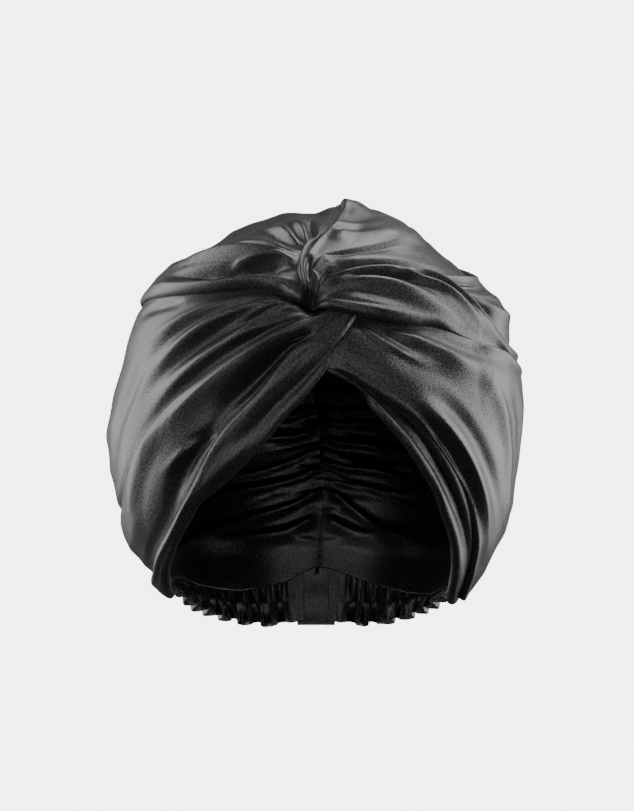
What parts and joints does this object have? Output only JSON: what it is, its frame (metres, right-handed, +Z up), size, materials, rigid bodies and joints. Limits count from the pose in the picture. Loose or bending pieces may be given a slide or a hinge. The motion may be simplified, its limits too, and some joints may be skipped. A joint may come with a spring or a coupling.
{
  "type": "turban headwrap",
  "caption": "Pre-tied black satin turban with pleated panels crossing in a front twist, rolled bands round a V-shaped face opening, ruched lining and ruffled nape elastic.",
  "frame": {"origin": "top of the hollow, on the inner face of the lining where the crown of the wearer's head sits", "axes": "+Z up, -Y towards the face opening, +X to the viewer's right from the front"},
  "size_m": [0.2212, 0.2295, 0.2432],
  "materials": {
    "satin": "black satin with a soft sheen",
    "lining": "black satin lining, ruched",
    "elastic_casing": "black satin gathered over elastic"
  },
  "bodies": {
    "root": {"crown_left": "satin", "crown_right": "satin", "wrap_left_upper": "satin", "wrap_left_middle": "satin", "wrap_left_lower": "satin", "wrap_right_back": "satin", "wrap_right_upper": "satin", "wrap_right_lower": "satin", "front_band_left": "satin", "front_band_right": "satin", "twist_fold": "satin", "lining_left": "lining", "lining_right": "lining", "nape_elastic_left": "elastic_casing", "nape_elastic_right": "elastic_casing", "nape_tab": "elastic_casing"}
  },
  "joints": []
}
